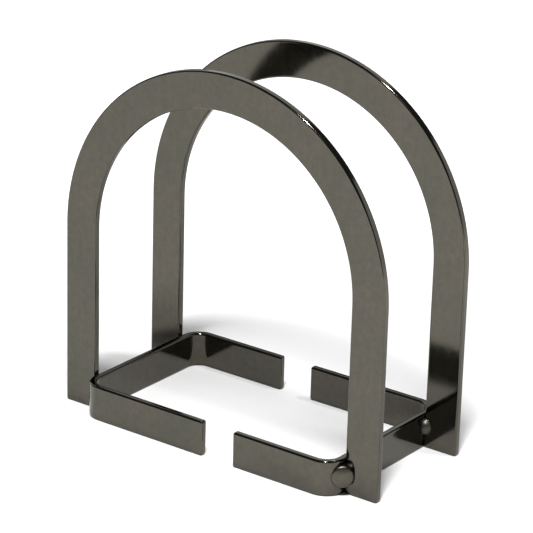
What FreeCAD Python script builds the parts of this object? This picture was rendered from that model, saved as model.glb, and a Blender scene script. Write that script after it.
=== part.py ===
import FreeCAD, Part
import math
import os

import Sketcher

# Free-standing napkin holder: two flat inverted-U plates stand one behind the other and are
# tied together at floor level by two brackets, each a flat strip standing on its edge and
# bent into a C with one long and one short arm.  The brackets are the same strip turned half
# a turn about the vertical, so the long arm is in front on the left and at the back on the
# right.  A weld bead in one corner between each leg and its strip holds it all together: in
# front of the front right leg, inside the slot at the back right leg, and the same after half
# a turn on the left.
#
# Frame: X to the right, Y to the back, Z up.  The origin is on the floor in the middle of the
# slot that the napkins stand in.  All sizes are in millimetres.

DIMENSIONS = [
    ("arch_height", 150.0, "floor to the top of an arch plate"),
    ("arch_width", 150.0, "outside width over the two legs of an arch plate"),
    ("band_width", 14.5, "width of the flat band, the same all along the arch"),
    ("plate_thickness", 3.0, "thickness of an arch plate"),
    ("slot_depth", 50.4, "clear space between the two arch plates"),
    ("strip_height", 14.3, "height of the bracket strip standing on its edge"),
    ("strip_thickness", 3.0, "thickness of the bracket strip"),
    ("bend_radius", 8.5, "outside radius of the two bends of a bracket"),
    ("arm_gap", 14.5, "gap between the ends of the two arms on one side"),
    ("foot_corner_radius", 1.1, "rounding of the bottom corners of the legs"),
    ("arm_corner_radius", 1.0, "rounding of the corners at the ends of the arms"),
    ("edge_rounding", 0.6, "polished rounding of every long edge"),
    ("outer_bead_radius", 4.5, "radius of the button of weld on the outer side of a leg"),
    ("outer_bead_length", 4.9, "length of that button, from inside the corner to its front"),
    ("outer_bead_dome", 12.0, "radius of the slight dome on its front"),
    ("outer_bead_rim", 1.0, "rounding of its rim"),
    ("outer_bead_angle", 41.0, "way it points, in degrees from straight ahead to the right"),
    ("outer_bead_sink", 1.5, "where its axis starts, sideways into the strip from the corner"),
    ("outer_bead_rise", 0.7, "height of its middle over the middle of the strip"),
    ("inner_bead_radius", 3.5, "radius of the ball of weld between the arches"),
    ("inner_bead_sink", 0.8, "middle of that ball, behind the face of the leg"),
    ("inner_bead_rise", 1.6, "height of its middle over the middle of the strip"),
]

# Sizes that follow from the driving ones, used wherever two pieces meet.
ARCH_SPRING_HEIGHT = "(Dimensions.arch_height - Dimensions.arch_width / 2)"
LEG_INNER_X = "(Dimensions.arch_width / 2 - Dimensions.band_width)"
ARCH_MID_Y = "(Dimensions.slot_depth / 2 + Dimensions.plate_thickness / 2)"
LEG_OUTER_FACE_Y = "(Dimensions.slot_depth / 2 + Dimensions.plate_thickness)"
LEG_INNER_FACE_Y = "(Dimensions.slot_depth / 2)"
BRACKET_HALF_DEPTH = "(" + LEG_OUTER_FACE_Y + " + Dimensions.bend_radius)"
BEND_X = "(" + LEG_INNER_X + " - Dimensions.bend_radius)"

START = 1
END = 2
CENTRE = 3
X_AXIS = -1
Y_AXIS = -2
ORIGIN = (-1, START)


def make_dimensions(doc):
    """The sheet of driving dimensions, and their values for sketching."""
    sheet = doc.addObject("Spreadsheet::Sheet", "Dimensions")
    for row, (alias, value, meaning) in enumerate(DIMENSIONS, start=1):
        sheet.set("A%d" % row, meaning)
        sheet.set("B%d" % row, str(value))
        sheet.setAlias("B%d" % row, alias)
    doc.recompute()
    return sheet


def make_body(doc, name):
    body = doc.addObject("PartDesign::Body", name)
    body.Label = name
    return body


def make_sketch(body, plane_role):
    """A sketch on one of the body's own origin planes."""
    sketch = body.newObject("Sketcher::SketchObject", body.Name + "_sketch")
    plane = next(item for item in body.Origin.OriginFeatures if item.Role == plane_role)
    sketch.AttachmentSupport = [(plane, "")]
    sketch.MapMode = "FlatFace"
    return sketch


def add_line(sketch, start, end):
    first = FreeCAD.Vector(start[0], start[1], 0)
    last = FreeCAD.Vector(end[0], end[1], 0)
    return sketch.addGeometry(Part.LineSegment(first, last), False)


def add_arc(sketch, centre, radius, first_degrees, last_degrees):
    """An anticlockwise arc; its START lies at first_degrees and its END at last_degrees."""
    circle = Part.Circle(FreeCAD.Vector(centre[0], centre[1], 0), FreeCAD.Vector(0, 0, 1), radius)
    first = math.radians(first_degrees)
    last = math.radians(last_degrees)
    return sketch.addGeometry(Part.ArcOfCircle(circle, first, last), False)


def constrain(sketch, kind, *references):
    return sketch.addConstraint(Sketcher.Constraint(kind, *references))


def dimension(sketch, name, expression, kind, *references):
    """A dimensional constraint, named and bound to the sheet."""
    index = constrain(sketch, kind, *references)
    sketch.renameConstraint(index, name)
    sketch.setExpression("Constraints." + name, expression)


def normal_beside(face, point):
    u, v = face.Surface.parameter(point)
    return face.normalAt(u, v)


def sharp_edges(shape):
    """The edges where two faces meet at an angle instead of smoothly, by name."""
    found = {}
    for number, edge in enumerate(shape.Edges, start=1):
        faces = shape.ancestorsOfType(edge, Part.Face)
        if len(faces) < 2:
            continue  # the seam of a round face
        middle = edge.valueAt((edge.FirstParameter + edge.LastParameter) / 2)
        angle = normal_beside(faces[0], middle).getAngle(normal_beside(faces[1], middle))
        if angle > math.radians(10):
            found["Edge%d" % number] = edge
    return found


def corner_edges(shape, thickness):
    """Names of the sharp edges that run straight through a plate or strip, along Y."""
    names = []
    for name, edge in sharp_edges(shape).items():
        along_y = abs(abs(edge.tangentAt(edge.FirstParameter).y) - 1) < 1e-6
        if along_y and abs(edge.Length - thickness) < 1e-6:
            names.append(name)
    return names


def turned(degrees):
    """A turn about the vertical through the origin."""
    return FreeCAD.Placement(FreeCAD.Vector(), FreeCAD.Rotation(FreeCAD.Vector(0, 0, 1), degrees))


def combine(doc, kind, name, base, tool):
    result = doc.addObject(kind, name)
    result.Base = base
    result.Tool = tool
    return result


def add_fillet(body, suffix, base, edges, radius_expression):
    fillet = body.newObject("PartDesign::Fillet", body.Name + suffix)
    fillet.Base = (base, edges)
    fillet.setExpression("Radius", radius_expression)
    body.Document.recompute()
    return fillet


def draw_arch(sketch, sheet):
    """Inverted U: a semicircle on two straight legs, the same band width all along."""
    outer = sheet.arch_width / 2
    inner = outer - sheet.band_width
    spring = sheet.arch_height - outer

    outer_left = add_line(sketch, (-outer, 0), (-outer, spring))
    outer_arc = add_arc(sketch, (0, spring), outer, 0, 180)
    outer_right = add_line(sketch, (outer, spring), (outer, 0))
    foot_right = add_line(sketch, (outer, 0), (inner, 0))
    inner_right = add_line(sketch, (inner, 0), (inner, spring))
    inner_arc = add_arc(sketch, (0, spring), inner, 0, 180)
    inner_left = add_line(sketch, (-inner, spring), (-inner, 0))
    foot_left = add_line(sketch, (-inner, 0), (-outer, 0))

    constrain(sketch, "Tangent", outer_left, END, outer_arc, END)
    constrain(sketch, "Tangent", outer_arc, START, outer_right, START)
    constrain(sketch, "Tangent", inner_right, END, inner_arc, START)
    constrain(sketch, "Tangent", inner_arc, END, inner_left, START)
    constrain(sketch, "Coincident", outer_right, END, foot_right, START)
    constrain(sketch, "Coincident", foot_right, END, inner_right, START)
    constrain(sketch, "Coincident", inner_left, END, foot_left, START)
    constrain(sketch, "Coincident", foot_left, END, outer_left, START)
    for leg_side in (outer_left, outer_right, inner_left, inner_right):
        constrain(sketch, "Vertical", leg_side)
    for foot in (foot_left, foot_right):
        constrain(sketch, "Horizontal", foot)
        constrain(sketch, "PointOnObject", foot, START, X_AXIS)
    constrain(sketch, "Coincident", outer_arc, CENTRE, inner_arc, CENTRE)
    constrain(sketch, "PointOnObject", outer_arc, CENTRE, Y_AXIS)
    dimension(sketch, "outer_radius", "Dimensions.arch_width / 2", "Radius", outer_arc, outer)
    dimension(sketch, "band", "Dimensions.band_width",
              "DistanceX", foot_right, END, foot_right, START, outer - inner)
    dimension(sketch, "spring_height", ARCH_SPRING_HEIGHT,
              "DistanceY", *ORIGIN, outer_arc, CENTRE, spring)


def make_arch(doc, sheet, name, side_of_slot):
    """A flat arch plate; side_of_slot is -1 for the front one and 1 for the back one."""
    body = make_body(doc, name)
    sketch = make_sketch(body, "XZ_Plane")
    draw_arch(sketch, sheet)
    plate = body.newObject("PartDesign::Pad", name + "_plate")
    plate.Profile = sketch
    plate.Midplane = True
    plate.setExpression("Length", "Dimensions.plate_thickness")
    doc.recompute()

    feet = corner_edges(plate.Shape, sheet.plate_thickness)
    corners = add_fillet(body, "_corners", plate, feet, "Dimensions.foot_corner_radius")
    rims = list(sharp_edges(corners.Shape))
    add_fillet(body, "_edges", corners, rims, "Dimensions.edge_rounding")
    body.setExpression("Placement.Base.y", "%d * %s" % (side_of_slot, ARCH_MID_Y))
    return body


def draw_bracket(sketch, sheet):
    """Plan of the bent strip with its web at +X, the short arm at -Y and the long arm at +Y.

    The long arm stops at the middle of the holder and the short one the gap short of it.
    The web is flat from one arch to the other, and each bend starts at the leg's outer face.
    """
    thickness = sheet.strip_thickness
    radius = sheet.bend_radius
    web = sheet.arch_width / 2 - sheet.band_width
    half_depth = sheet.slot_depth / 2 + sheet.plate_thickness + radius
    bend_x = web - radius
    bend_y = half_depth - radius
    gap = sheet.arm_gap

    short_outer = add_line(sketch, (gap, -half_depth), (bend_x, -half_depth))
    short_bend_outer = add_arc(sketch, (bend_x, -bend_y), radius, -90, 0)
    web_outer = add_line(sketch, (web, -bend_y), (web, bend_y))
    long_bend_outer = add_arc(sketch, (bend_x, bend_y), radius, 0, 90)
    long_outer = add_line(sketch, (bend_x, half_depth), (0, half_depth))
    long_end = add_line(sketch, (0, half_depth), (0, half_depth - thickness))
    long_inner = add_line(sketch, (0, half_depth - thickness), (bend_x, half_depth - thickness))
    long_bend_inner = add_arc(sketch, (bend_x, bend_y), radius - thickness, 0, 90)
    web_inner = add_line(sketch, (web - thickness, bend_y), (web - thickness, -bend_y))
    short_bend_inner = add_arc(sketch, (bend_x, -bend_y), radius - thickness, -90, 0)
    short_inner = add_line(sketch, (bend_x, thickness - half_depth), (gap, thickness - half_depth))
    short_end = add_line(sketch, (gap, thickness - half_depth), (gap, -half_depth))

    constrain(sketch, "Tangent", short_outer, END, short_bend_outer, START)
    constrain(sketch, "Tangent", short_bend_outer, END, web_outer, START)
    constrain(sketch, "Tangent", web_outer, END, long_bend_outer, START)
    constrain(sketch, "Tangent", long_bend_outer, END, long_outer, START)
    constrain(sketch, "Tangent", long_inner, END, long_bend_inner, END)
    constrain(sketch, "Tangent", long_bend_inner, START, web_inner, START)
    constrain(sketch, "Tangent", web_inner, END, short_bend_inner, END)
    constrain(sketch, "Tangent", short_bend_inner, START, short_inner, START)
    constrain(sketch, "Coincident", long_outer, END, long_end, START)
    constrain(sketch, "Coincident", long_end, END, long_inner, START)
    constrain(sketch, "Coincident", short_inner, END, short_end, START)
    constrain(sketch, "Coincident", short_end, END, short_outer, START)
    constrain(sketch, "Coincident", long_bend_outer, CENTRE, long_bend_inner, CENTRE)
    constrain(sketch, "Coincident", short_bend_outer, CENTRE, short_bend_inner, CENTRE)
    for arm_side in (short_outer, short_inner, long_outer, long_inner):
        constrain(sketch, "Horizontal", arm_side)
    for across in (web_outer, web_inner, long_end, short_end):
        constrain(sketch, "Vertical", across)
    constrain(sketch, "Equal", short_bend_outer, long_bend_outer)
    constrain(sketch, "PointOnObject", long_end, START, Y_AXIS)
    dimension(sketch, "bend", "Dimensions.bend_radius", "Radius", short_bend_outer, radius)
    dimension(sketch, "thickness", "Dimensions.strip_thickness",
              "DistanceY", short_end, END, short_end, START, thickness)
    dimension(sketch, "web_x", LEG_INNER_X, "DistanceX", *ORIGIN, web_outer, START, web)
    dimension(sketch, "back_y", BRACKET_HALF_DEPTH,
              "DistanceY", *ORIGIN, long_outer, START, half_depth)
    dimension(sketch, "front_y", BRACKET_HALF_DEPTH,
              "DistanceY", short_outer, START, *ORIGIN, half_depth)
    dimension(sketch, "gap", "Dimensions.arm_gap", "DistanceX", *ORIGIN, short_outer, START, gap)


def make_bracket(doc, sheet, name, turn):
    """A bent strip, turned by the given angle about the vertical through the origin."""
    body = make_body(doc, name)
    sketch = make_sketch(body, "XY_Plane")
    draw_bracket(sketch, sheet)
    strip = body.newObject("PartDesign::Pad", name + "_strip")
    strip.Profile = sketch
    strip.setExpression("Length", "Dimensions.strip_height")
    doc.recompute()

    ends = corner_edges(strip.Shape, sheet.strip_thickness)
    corners = add_fillet(body, "_corners", strip, ends, "Dimensions.arm_corner_radius")
    rims = list(sharp_edges(corners.Shape))
    add_fillet(body, "_edges", corners, rims, "Dimensions.edge_rounding")
    body.Placement = turned(turn)
    return body


def place(item, x, y, z):
    """Binds where an object stands to expressions in the driving dimensions."""
    item.setExpression("Placement.Base.x", x)
    item.setExpression("Placement.Base.y", y)
    item.setExpression("Placement.Base.z", z)


def make_ball(doc, name, radius, x, y, z):
    ball = doc.addObject("Part::Sphere", name)
    ball.setExpression("Radius", radius)
    place(ball, x, y, z)
    return ball


def make_room(doc, name, start_x, start_y, size):
    """The block of open space, as high as the strip, that a bead may fill."""
    room = doc.addObject("Part::Box", name)
    room.setExpression("Length", size)
    room.setExpression("Width", size)
    room.setExpression("Height", "Dimensions.strip_height")
    place(room, start_x, start_y, "0")
    return room


def make_outer_bead(doc, sheet, name, turn):
    """A button of weld in the corner between the front right leg's outer face and the bend.

    It points away from the corner, with a slightly domed front and a rounded rim, and fills
    the space in front of the leg's face that the bend leaves open.  The whole bead is then
    turned by the given angle about the vertical, as its bracket is.
    """
    axis_x = LEG_INNER_X + " - Dimensions.outer_bead_sink"
    leg_face = "-" + LEG_OUTER_FACE_Y
    middle_z = "Dimensions.strip_height / 2 + Dimensions.outer_bead_rise"
    dome_back = "(Dimensions.outer_bead_dome - Dimensions.outer_bead_length)"
    angle = "(Dimensions.outer_bead_angle * 1 deg)"

    stem = doc.addObject("Part::Cylinder", name + "_stem")
    stem.setExpression("Radius", "Dimensions.outer_bead_radius")
    stem.setExpression("Height", "Dimensions.outer_bead_length")
    pointing = FreeCAD.Rotation(sheet.outer_bead_angle, 0, 90)
    stem.Placement = FreeCAD.Placement(FreeCAD.Vector(), pointing)
    place(stem, axis_x, leg_face, middle_z)
    dome = make_ball(doc, name + "_dome", "Dimensions.outer_bead_dome",
                     "%s - sin(%s) * %s" % (axis_x, angle, dome_back),
                     "%s + cos(%s) * %s" % (leg_face, angle, dome_back), middle_z)
    button = combine(doc, "Part::Common", name + "_button", stem, dome)
    doc.recompute()

    rim = max(sharp_edges(button.Shape).items(),
              key=lambda item: (item[1].CenterOfMass - stem.Placement.Base).Length)
    rounded = doc.addObject("Part::Fillet", name + "_rounded")
    rounded.Base = button
    rim_number = int(rim[0].removeprefix("Edge"))
    rounded.Edges = [(rim_number, sheet.outer_bead_rim, sheet.outer_bead_rim)]

    size = "(Dimensions.bend_radius + 2 * Dimensions.outer_bead_radius)"
    room = make_room(doc, name + "_room", BEND_X, leg_face + " - " + size, size)
    bead = combine(doc, "Part::Common", name + "_bead", rounded, room)
    bend = doc.addObject("Part::Cylinder", name + "_bend")
    bend.setExpression("Radius", "Dimensions.bend_radius")
    bend.setExpression("Height", "Dimensions.strip_height")
    place(bend, BEND_X, leg_face, "0")
    bead = combine(doc, "Part::Cut", name + "_on_bend", bead, bend)
    bead.Label = name
    bead.Placement = turned(turn)
    return bead


def make_inner_bead(doc, name, turn):
    """The part of a ball in the corner between the back right leg's inner face and the web."""
    radius = "Dimensions.inner_bead_radius"
    leg_face = LEG_INNER_FACE_Y
    ball = make_ball(doc, name + "_ball", radius,
                     LEG_INNER_X, leg_face + " + Dimensions.inner_bead_sink",
                     "Dimensions.strip_height / 2 + Dimensions.inner_bead_rise")
    room = make_room(doc, name + "_room", LEG_INNER_X, leg_face + " - " + radius, radius)
    bead = combine(doc, "Part::Common", name + "_bead", ball, room)
    bead.Label = name
    bead.Placement = turned(turn)
    return bead


def check(doc, sub_parts):
    """Stops the build if anything in the document failed."""
    for item in doc.Objects:
        if "Invalid" in item.State or "Error" in item.State:
            raise RuntimeError("%s failed: %s" % (item.Name, item.State))
    for item in doc.Objects:
        if item.TypeId == "Sketcher::SketchObject" and not item.FullyConstrained:
            raise RuntimeError(item.Name + " is not fully constrained")
    for piece in sub_parts:
        if piece.Shape.isNull() or not piece.Shape.isValid():
            raise RuntimeError(piece.Label + " has no valid shape")
        if len(piece.Shape.Solids) != 1:
            raise RuntimeError("%s has %d solids" % (piece.Label, len(piece.Shape.Solids)))


def build():
    doc = FreeCAD.newDocument("napkin_holder")
    sheet = make_dimensions(doc)
    sub_parts = [
        make_arch(doc, sheet, "front_arch", -1),
        make_arch(doc, sheet, "back_arch", 1),
        make_bracket(doc, sheet, "right_base_bracket", 0),
        make_bracket(doc, sheet, "left_base_bracket", 180),
        make_outer_bead(doc, sheet, "weld_front_right", 0),
        make_inner_bead(doc, "weld_back_right", 0),
        make_outer_bead(doc, sheet, "weld_back_left", 180),
        make_inner_bead(doc, "weld_front_left", 180),
    ]
    doc.recompute()
    check(doc, sub_parts)

    os.makedirs("parts", exist_ok=True)
    for piece in sub_parts:
        piece.Shape.exportStep(os.path.join("parts", piece.Label + ".step"))
        print("%-26s %10.1f mm3" % (piece.Label, piece.Shape.Volume))


build()
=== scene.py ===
"""Looks of the napkin holder: dark nickel plating, weld beads, white paper under it and studio light.

Lengths are in metres and angles in degrees. +X is to the right, +Y to the back, +Z up.
"""
import math

import bpy
import bmesh
from mathutils import Matrix, Vector


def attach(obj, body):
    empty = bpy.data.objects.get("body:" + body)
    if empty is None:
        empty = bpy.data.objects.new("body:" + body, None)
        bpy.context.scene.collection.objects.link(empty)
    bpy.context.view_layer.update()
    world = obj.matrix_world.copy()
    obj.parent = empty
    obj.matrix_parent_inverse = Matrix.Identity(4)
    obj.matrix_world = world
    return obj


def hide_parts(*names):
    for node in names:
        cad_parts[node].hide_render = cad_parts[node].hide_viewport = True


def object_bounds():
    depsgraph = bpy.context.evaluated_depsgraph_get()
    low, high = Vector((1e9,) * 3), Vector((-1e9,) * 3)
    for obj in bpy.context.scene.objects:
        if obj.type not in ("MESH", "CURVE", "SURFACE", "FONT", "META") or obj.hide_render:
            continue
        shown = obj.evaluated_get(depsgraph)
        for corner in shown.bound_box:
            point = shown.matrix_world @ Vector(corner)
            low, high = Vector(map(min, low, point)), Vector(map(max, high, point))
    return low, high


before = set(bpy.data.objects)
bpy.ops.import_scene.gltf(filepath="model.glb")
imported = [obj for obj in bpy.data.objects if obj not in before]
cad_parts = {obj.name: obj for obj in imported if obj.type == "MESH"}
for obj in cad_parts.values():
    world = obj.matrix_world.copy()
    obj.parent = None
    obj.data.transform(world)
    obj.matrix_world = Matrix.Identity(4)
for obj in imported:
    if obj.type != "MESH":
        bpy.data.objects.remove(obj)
CAD_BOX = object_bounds()

# Camera: where it stands round the middle of the object, its azimuth to the right of straight in
# front, and how far from the middle it aims.
CAMERA_AZIMUTH = 36.0945
CAMERA_ELEVATION = 20.8123
CAMERA_ROLL = 1.5986
CAMERA_DISTANCE = 1.00619
AIM_RIGHT = 0.00096
AIM_UP = -0.00753
LENS_MM = 177.879
SENSOR_MM = 36.0

# The metal, as in the frame.
ARCH_WIDTH = 0.150
ARCH_HEIGHT = 0.150
BAND_WIDTH = 0.0145
PLATE_THICKNESS = 0.003
SLOT_DEPTH = 0.0504
STRIP_HEIGHT = 0.0143
STRIP_THICKNESS = 0.003
BEND_RADIUS = 0.0085
ARM_GAP = 0.0145
FOOT_CORNER = 0.0011
ARM_CORNER = 0.0010

# The rounding of the metal's long edges, and how many steps each kind of curve has.
PLATE_ROUNDING = 0.0006
STRIP_ROUNDING = 0.0009
ROUNDING_STEPS = 5
CORNER_STEPS = 6
ARCH_STEPS = 96
BEND_STEPS = 18

# Plating colours, linear.
NICKEL_GREEN = (0.084, 0.083, 0.068)
NICKEL_ROSE = (0.096, 0.087, 0.073)
NICKEL_DEEP = (0.068, 0.065, 0.053)
# Painted highlight: the paler colour laid on the eased edges.
NICKEL_PAINTED_HIGHLIGHT = (0.21, 0.20, 0.175)
WHITE = (1.0, 1.0, 1.0, 1.0)

# Plating patterns: features in a metre, and the spans of the noise that the colours follow.
CLOUDS_IN_METRE = 48.0
CLOUD_SPAN = (0.36, 0.64)
MOTTLE_IN_METRE = 420.0
LINES_IN_METRE = 900.0
LINE_STRETCH = (1.0, 1.0, 0.06)
LINE_SHARE = 0.22
GRAIN_SPAN = (0.35, 0.65)
GRAIN_HEIGHT = 0.0000006
DEEP_SHARE = 0.7

# Eased edges: their radius, and how far the eased normal turns (as a cosine) where a painted highlight
# makes them paler.
EASED_EDGE = 0.0006
EDGE_SAMPLES = 8
PAINTED_HIGHLIGHT_SPAN = (0.985, 0.90)
PAINTED_HIGHLIGHT_SHARE = 0.22

# The three finishes: roughness from the lowest grain to the highest, waves in a metre, and their height.
POLISHED = {"gloss": (0.13, 0.09), "waves_in_metre": 45.0, "wave_height": 0.00003}
BUTTON_WELD = {"gloss": (0.36, 0.28), "waves_in_metre": 300.0, "wave_height": 0.00004}
SPATTERED_WELD = {"gloss": (0.50, 0.40), "waves_in_metre": 420.0, "wave_height": 0.00018}

# The paper: the share of light it returns in front of the object and far from it, and the lower share near
# the object, which is painted shade. The change runs over these depths and over these distances from the
# middle.
FLOOR_HEIGHT = -0.00002
FLOOR_RADIUS = 1.3
FLOOR_STEPS = 96
BRIGHT_PAPER = 0.96
# Painted shade: the darker share of the paper near and behind the object.
PAINTED_SHADE_PAPER = 0.66
PAPER_FRONT = (-0.055, -0.01)
PAPER_REACH = (0.12, 0.30)

# The card behind, its azimuths to the right of straight behind.
CARD_RADIUS = 0.46
CARD_AZIMUTHS = (-70.0, 10.0)
CARD_HEIGHT = 0.225
CARD_GLOW = 0.24
CARD_STEPS = 24

# The lamps: width and length as angles seen from the object, azimuth to the right of straight behind.
LAMP_DISTANCE = 2.5
LAMP_AIM = Vector((0, 0, 0.075))
KEY_LAMP = {"power": 84.0, "width": 3.6, "length": 14.0, "azimuth": 151.0, "elevation": 68.3}
SIDE_LAMP = {"power": 17.0, "width": 8.0, "length": 8.0, "azimuth": 64.0, "elevation": 67.0}

# The surroundings, by the X, Y and Z of a direction of length 1: the white sweep fades in over these spans.
SWEEP_GLOW = 1.05
ROOM_GLOW = 0.08
SWEEP_TOP = (0.46, 0.43)
TALL_SWEEP_TOP = (0.80, 0.70)
TALL_SWEEP_SIDE = (0.01, -0.05)
SWEEP_FRONT = (-0.3, 0.1)


def new_object(name, fill):
    """A mesh object whose mesh the given function fills."""
    mesh = bpy.data.meshes.new(name)
    maker = bmesh.new()
    fill(maker)
    maker.to_mesh(mesh)
    maker.free()
    made = bpy.data.objects.new(name, mesh)
    bpy.context.scene.collection.objects.link(made)
    return made


def turn_steps(first, last, steps):
    """Angles in radians, in equal steps from the first to the last, which are in degrees."""
    return [math.radians(first + (last - first) * step / steps) for step in range(steps + 1)]


# The plated bands.

class Section:
    """One station of a flat band: a place on its centre line, its direction and its width direction.

    reach is how far its two sides stand from the centre line, and lean how the side walls face there, along
    the band and across it.
    """

    def __init__(self, place, along, across, reach, lean=(0.0, 1.0)):
        self.place = place
        self.along = along
        self.across = across
        self.reach = reach
        self.lean = lean

    def turned(self, turn):
        """The same section, turned about the origin."""
        return Section(turn @ self.place, turn @ self.along, turn @ self.across, self.reach, self.lean)


def corner_sections(end, inward, radius):
    """The rounded corners at one end of a band, from its end face to its full width."""
    made = []
    for angle in turn_steps(0, 90, CORNER_STEPS):
        place = end.place + inward * radius * (1 - math.cos(angle))
        reach = end.reach - radius * (1 - math.sin(angle))
        lean = (-math.cos(angle) * inward.dot(end.along), math.sin(angle))
        made.append(Section(place, end.along, end.across, reach, lean))
    return made


def band_sections(line, width, corner):
    """A band's sections from the (place, along, across) of its centre line, with rounded corners."""
    plain = [Section(*station, width / 2) for station in line]
    first, last = plain[0], plain[-1]
    start = corner_sections(first, first.along, corner)
    ending = corner_sections(last, -last.along, corner)
    return start + plain[1:-1] + ending[::-1]


def ring_points(sections, thickness, rounding, angle, side):
    """The places and normals of one ring round a band: along one flank and back along the other.

    The ring lies on the long edges' rounding, at 0 on the flank and at a right angle on the face. side is
    1 over the middle of the band's thickness and -1 under it.
    """
    flat, steep = math.cos(angle), math.sin(angle)
    inset = rounding * (1 - flat)
    height = side * (thickness / 2 - rounding * (1 - steep))
    points = []
    for one, flank in [(one, 1) for one in sections] + [(one, -1) for one in reversed(sections)]:
        across = one.across * flank
        up = one.along.cross(one.across)
        facing = one.along * one.lean[0] + across * one.lean[1]
        place = one.place + across * one.reach - facing * inset + up * height
        points.append((place, (facing * flat + up * side * steep).normalized()))
    return points


def make_band(name, sections, thickness, rounding):
    """A flat or bent band of metal with rounded corners and polished edges."""
    turns = turn_steps(90, 0, ROUNDING_STEPS)
    rings = [(turn, 1) for turn in turns] + [(turn, -1) for turn in reversed(turns)]
    rows = [ring_points(sections, thickness, rounding, *ring) for ring in rings]
    around = len(rows[0])

    def fill(maker):
        loops = [[maker.verts.new(place) for place, _ in row] for row in rows]
        for upper, lower in zip(loops, loops[1:]):
            for index in range(around):
                after = (index + 1) % around
                maker.faces.new((upper[index], upper[after], lower[after], lower[index]))
        for loop in (loops[0], loops[-1]):
            for index in range(len(sections) - 1):
                across = around - 1 - index
                maker.faces.new((loop[index], loop[index + 1], loop[across - 1], loop[across]))
        bmesh.ops.recalc_face_normals(maker, faces=maker.faces)

    band = new_object(name, fill)
    band.data.shade_smooth()
    band.data.normals_split_custom_set_from_vertices([normal for row in rows for _, normal in row])
    return band


def arch_line(middle_y):
    """Centre line of an arch: up the right leg, over the top and down the left one."""
    radius = ARCH_WIDTH / 2 - BAND_WIDTH / 2
    centre = Vector((0, middle_y, ARCH_HEIGHT - ARCH_WIDTH / 2))
    right, up = Vector((1, 0, 0)), Vector((0, 0, 1))
    line = [(Vector((radius, middle_y, 0)), up, right)]
    for angle in turn_steps(0, 180, ARCH_STEPS):
        out = Vector((math.cos(angle), 0, math.sin(angle)))
        line.append((centre + out * radius, Vector((-out.z, 0, out.x)), out))
    line.append((Vector((-radius, middle_y, 0)), -up, -right))
    return line


def bracket_line():
    """Centre line of the right bracket: short arm in front, web at the right, long arm at the back."""
    radius = BEND_RADIUS - STRIP_THICKNESS / 2
    bend_x = ARCH_WIDTH / 2 - BAND_WIDTH - BEND_RADIUS
    bend_y = SLOT_DEPTH / 2 + PLATE_THICKNESS
    middle_z = STRIP_HEIGHT / 2
    right, up = Vector((1, 0, 0)), Vector((0, 0, 1))
    line = [(Vector((ARM_GAP, -bend_y - radius, middle_z)), right, up)]
    for side, start in ((-1, -90), (1, 0)):
        centre = Vector((bend_x, side * bend_y, middle_z))
        for angle in turn_steps(start, start + 90, BEND_STEPS):
            out = Vector((math.cos(angle), math.sin(angle), 0))
            line.append((centre + out * radius, Vector((-out.y, out.x, 0)), up))
    line.append((Vector((0, bend_y + radius, middle_z)), -right, up))
    return line


def finish_metal(shell):
    """The plated arches and brackets, which stand for the plain CAD ones at the same places."""
    middle_y = SLOT_DEPTH / 2 + PLATE_THICKNESS / 2
    half_turn = Matrix.Rotation(math.pi, 3, "Z")
    front = band_sections(arch_line(-middle_y), BAND_WIDTH, FOOT_CORNER)
    back = band_sections(arch_line(middle_y), BAND_WIDTH, FOOT_CORNER)
    right = band_sections(bracket_line(), STRIP_HEIGHT, ARM_CORNER)
    left = [one.turned(half_turn) for one in right]
    bands = {
        "front_arch": (front, PLATE_THICKNESS, PLATE_ROUNDING),
        "back_arch": (back, PLATE_THICKNESS, PLATE_ROUNDING),
        "right_base_bracket": (right, STRIP_THICKNESS, STRIP_ROUNDING),
        "left_base_bracket": (left, STRIP_THICKNESS, STRIP_ROUNDING),
    }
    for node, shape in bands.items():
        piece = make_band("plated_" + node, *shape)
        piece.data.materials.append(shell)
        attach(piece, "root")
        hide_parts(node)


# The materials.

class Nodes:
    """Short calls for building a node tree."""

    def __init__(self, tree):
        self.tree = tree
        tree.nodes.clear()

    def put(self, socket, value):
        """Sets a socket to a value, or links it where the value is another socket."""
        if isinstance(value, bpy.types.NodeSocket):
            self.tree.links.new(value, socket)
        else:
            socket.default_value = value

    def add(self, kind, **settings):
        """A node, with its inputs and properties set by name."""
        node = self.tree.nodes.new(kind)
        for name, value in settings.items():
            label = name.replace("_", " ")
            if label in node.inputs:
                self.put(node.inputs[label], value)
            else:
                setattr(node, name, value)
        return node

    def coordinates(self, kind):
        """The place on the object, or the direction in the world, in coordinates of the given kind."""
        return self.add("ShaderNodeTexCoord").outputs[kind]

    def apart(self, vector):
        """The X, Y and Z of a vector."""
        return self.add("ShaderNodeSeparateXYZ", Vector=vector).outputs

    def maths(self, operation, first, second):
        """The result of an operation on two numbers."""
        node = self.add("ShaderNodeMath", operation=operation)
        self.put(node.inputs[0], first)
        self.put(node.inputs[1], second)
        return node.outputs["Value"]

    def step(self, value, span, ends, smooth=False):
        """A number that goes from one end to the other over the value's span, and is held beyond it."""
        node = self.add("ShaderNodeMapRange", Value=value, From_Min=span[0], From_Max=span[1],
                        To_Min=ends[0], To_Max=ends[1])
        if smooth:
            node.interpolation_type = "SMOOTHSTEP"
        return node.outputs["Result"]

    def blend(self, factor, first, second):
        """A number between two."""
        node = self.add("ShaderNodeMix", data_type="FLOAT", Factor=factor)
        self.put(node.inputs[2], first)
        self.put(node.inputs[3], second)
        return node.outputs[0]

    def tint(self, factor, first, second):
        """A colour between two, of which the first may be a socket."""
        node = self.add("ShaderNodeMix", data_type="RGBA", Factor=factor)
        self.put(node.inputs[6], first if isinstance(first, bpy.types.NodeSocket) else (*first, 1))
        self.put(node.inputs[7], (*second, 1))
        return node.outputs[2]


def new_material(name, build):
    """A material whose shader the given function builds."""
    material = bpy.data.materials.new(name)
    material.use_nodes = True
    nodes = Nodes(material.node_tree)
    nodes.add("ShaderNodeOutputMaterial", Surface=build(nodes))
    return material


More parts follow.
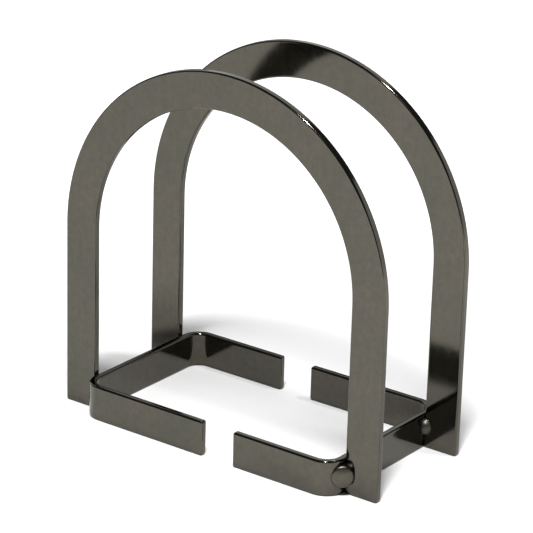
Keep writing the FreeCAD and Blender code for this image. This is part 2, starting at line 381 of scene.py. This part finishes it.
def polishing_grain(nodes, place):
    """A fine mottle with faint upright polishing lines."""
    stretched = nodes.add("ShaderNodeMapping", Vector=place, Scale=LINE_STRETCH).outputs["Vector"]
    lines = nodes.add("ShaderNodeTexNoise", Vector=stretched, Scale=LINES_IN_METRE, Detail=2.0)
    mottle = nodes.add("ShaderNodeTexNoise", Vector=place, Scale=MOTTLE_IN_METRE, Detail=4.0, Roughness=0.7)
    return nodes.blend(LINE_SHARE, mottle.outputs["Fac"], lines.outputs["Fac"])


def nickel_tint(nodes, place, grain, eased):
    """The plating's colour: two tints in soft clouds, deeper with the grain, and paler on the edges as a
    painted highlight.
    """
    clouds = nodes.add("ShaderNodeTexNoise", Vector=place, Scale=CLOUDS_IN_METRE, Detail=4.0, Roughness=0.6)
    cloudy = nodes.step(clouds.outputs["Fac"], CLOUD_SPAN, (0.0, 1.0))
    deep = nodes.step(grain, GRAIN_SPAN, (0.0, DEEP_SHARE))
    bend = nodes.add("ShaderNodeVectorMath", operation="DOT_PRODUCT")
    nodes.put(bend.inputs[0], eased)
    nodes.put(bend.inputs[1], nodes.add("ShaderNodeNewGeometry").outputs["Normal"])
    # Painted highlight: the colour turns paler where the eased normal leans away from the surface, on the
    # edges.
    painted_edge_highlight = nodes.step(bend.outputs["Value"], PAINTED_HIGHLIGHT_SPAN, (0.0, PAINTED_HIGHLIGHT_SHARE))
    tint = nodes.tint(cloudy, NICKEL_GREEN, NICKEL_ROSE)
    tint = nodes.tint(deep, tint, NICKEL_DEEP)
    return nodes.tint(painted_edge_highlight, tint, NICKEL_PAINTED_HIGHLIGHT)


def plating(name, gloss, waves_in_metre, wave_height):
    """Dark nickel over steel, whose surface undulates slightly, so mirrored shapes bend."""

    def build(nodes):
        place = nodes.coordinates("Object")
        grain = polishing_grain(nodes, place)
        eased = nodes.add("ShaderNodeBevel", samples=EDGE_SAMPLES, Radius=EASED_EDGE).outputs["Normal"]
        waves = nodes.add("ShaderNodeTexNoise", Vector=place, Scale=waves_in_metre, Detail=1.0)
        wavy = nodes.add("ShaderNodeBump", Height=waves.outputs["Fac"], Distance=wave_height, Normal=eased)
        fine = nodes.add("ShaderNodeBump", Height=grain, Distance=GRAIN_HEIGHT,
                         Normal=wavy.outputs["Normal"])
        shader = nodes.add("ShaderNodeBsdfPrincipled", Metallic=1.0,
                           Base_Color=nickel_tint(nodes, place, grain, eased),
                           Roughness=nodes.step(grain, GRAIN_SPAN, gloss),
                           Normal=fine.outputs["Normal"])
        return shader.outputs["BSDF"]

    return new_material(name, build)


def paper_with_painted_shade(nodes):
    """White paper, brightest in front of the object and far from it, with painted shade that darkens it
    near the object.
    """
    place = nodes.coordinates("Object")
    # Painted shade: the paper's colour drops near the object and behind its front.
    front = nodes.step(nodes.apart(place)["Y"], PAPER_FRONT, (BRIGHT_PAPER, PAINTED_SHADE_PAPER), smooth=True)
    reach = nodes.add("ShaderNodeVectorMath", operation="LENGTH")
    nodes.put(reach.inputs[0], place)
    far = nodes.step(reach.outputs["Value"], PAPER_REACH, (PAINTED_SHADE_PAPER, BRIGHT_PAPER), smooth=True)
    return nodes.add("ShaderNodeBsdfDiffuse", Color=nodes.maths("MAXIMUM", front, far)).outputs["BSDF"]


def even_card(nodes):
    """A card that glows evenly."""
    return nodes.add("ShaderNodeEmission", Strength=CARD_GLOW, Color=WHITE).outputs["Emission"]


def dress_metal():
    """Polished plating on the finished bands, and rougher finishes on the weld beads, which keep their
    CAD shapes.
    """
    finish_metal(plating("black_nickel", **POLISHED))
    button = plating("black_nickel_weld", **BUTTON_WELD)
    spattered = plating("black_nickel_spatter", **SPATTERED_WELD)
    welds = {
        "weld_front_right": button,
        "weld_back_left": button,
        "weld_back_right": spattered,
        "weld_front_left": spattered,
    }
    for name, finish in welds.items():
        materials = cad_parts[name].data.materials
        materials.clear()
        materials.append(finish)


# The studio.

def make_floor():
    """A round sheet of paper just under the feet."""

    def fill(maker):
        rim = [(FLOOR_RADIUS * math.cos(turn), FLOOR_RADIUS * math.sin(turn), FLOOR_HEIGHT)
               for turn in turn_steps(0, 360, FLOOR_STEPS)[:-1]]
        maker.faces.new([maker.verts.new(place) for place in rim])

    floor = new_object("floor", fill)
    floor.data.materials.append(new_material("floor_with_painted_shade", paper_with_painted_shade))


def make_card():
    """A low curved card behind the object, dim and seen only as the metal mirrors it."""

    def fill(maker):
        posts = []
        for turn in turn_steps(*CARD_AZIMUTHS, CARD_STEPS):
            x, y = CARD_RADIUS * math.sin(turn), CARD_RADIUS * math.cos(turn)
            posts.append((maker.verts.new((x, y, 0)), maker.verts.new((x, y, CARD_HEIGHT))))
        for (foot, top), (next_foot, next_top) in zip(posts, posts[1:]):
            maker.faces.new((foot, next_foot, next_top, top))

    card = new_object("low_dark_card", fill)
    card.data.materials.append(new_material("low_dark_card", even_card))
    card.visible_camera = False
    card.visible_diffuse = False
    card.visible_shadow = False


def make_lamp(name, power, width, length, azimuth, elevation):
    """A soft box that shines at the object. Its width lies level and its length runs up and back."""
    data = bpy.data.lights.new(name, "AREA")
    data.shape = "ELLIPSE"
    data.energy = power
    data.size = 2 * LAMP_DISTANCE * math.tan(math.radians(width / 2))
    data.size_y = 2 * LAMP_DISTANCE * math.tan(math.radians(length / 2))
    lamp = bpy.data.objects.new(name, data)
    bpy.context.scene.collection.objects.link(lamp)
    turn, rise = math.radians(azimuth), math.radians(elevation)
    away = Vector((math.sin(turn) * math.cos(rise), math.cos(turn) * math.cos(rise), math.sin(rise)))
    back = Vector((0, 1, 0))
    along = (back - away * away.y).normalized()
    axes = Matrix((along.cross(away), along, away)).transposed().to_4x4()
    lamp.matrix_world = Matrix.Translation(LAMP_AIM + away * LAMP_DISTANCE) @ axes
    return lamp


def make_world():
    """A white sweep behind the object, taller at the left, and a dim room above and in front.

    The camera itself sees plain white all round.
    """
    world = bpy.data.worlds.new("studio")
    bpy.context.scene.world = world
    world.use_nodes = True
    nodes = Nodes(world.node_tree)
    direction = nodes.apart(nodes.coordinates("Generated"))
    low_part = nodes.step(direction["Z"], SWEEP_TOP, (0.0, 1.0), smooth=True)
    tall_part = nodes.step(direction["Z"], TALL_SWEEP_TOP, (0.0, 1.0), smooth=True)
    left_part = nodes.step(direction["X"], TALL_SWEEP_SIDE, (0.0, 1.0), smooth=True)
    behind = nodes.step(direction["Y"], SWEEP_FRONT, (0.0, 1.0), smooth=True)
    white_part = nodes.maths("MAXIMUM", low_part, nodes.maths("MULTIPLY", tall_part, left_part))
    sweep = nodes.maths("MULTIPLY", white_part, behind)
    glow = nodes.step(sweep, (0.0, 1.0), (ROOM_GLOW, SWEEP_GLOW))
    seen = nodes.maths("MAXIMUM", glow, nodes.add("ShaderNodeLightPath").outputs["Is Camera Ray"])
    background = nodes.add("ShaderNodeBackground", Strength=seen, Color=WHITE)
    nodes.add("ShaderNodeOutputWorld", Surface=background.outputs["Background"])


def make_camera(middle):
    """The camera at the photograph's viewing angle."""
    azimuth = math.radians(CAMERA_AZIMUTH)
    elevation = math.radians(CAMERA_ELEVATION)
    roll = math.radians(CAMERA_ROLL)
    back = Vector((math.sin(azimuth) * math.cos(elevation),
                   -math.cos(azimuth) * math.cos(elevation),
                   math.sin(elevation)))
    level_right = Vector((math.cos(azimuth), math.sin(azimuth), 0))
    level_up = back.cross(level_right)
    right = level_right * math.cos(roll) + level_up * math.sin(roll)
    up = level_up * math.cos(roll) - level_right * math.sin(roll)
    data = bpy.data.cameras.new("camera")
    data.sensor_width = SENSOR_MM
    data.lens = LENS_MM
    camera = bpy.data.objects.new("camera", data)
    bpy.context.scene.collection.objects.link(camera)
    place = middle + right * AIM_RIGHT + up * AIM_UP + back * CAMERA_DISTANCE
    axes = Matrix((right, up, back)).transposed().to_4x4()
    camera.matrix_world = Matrix.Translation(place) @ axes
    bpy.context.scene.camera = camera


bpy.context.scene.view_settings.view_transform = "Standard"

dress_metal()
make_floor()
make_card()
make_world()
make_lamp("key_lamp", **KEY_LAMP)
side_lamp = make_lamp("side_lamp", **SIDE_LAMP)
side_lamp.visible_glossy = False

low, high = CAD_BOX
make_camera((low + high) / 2)
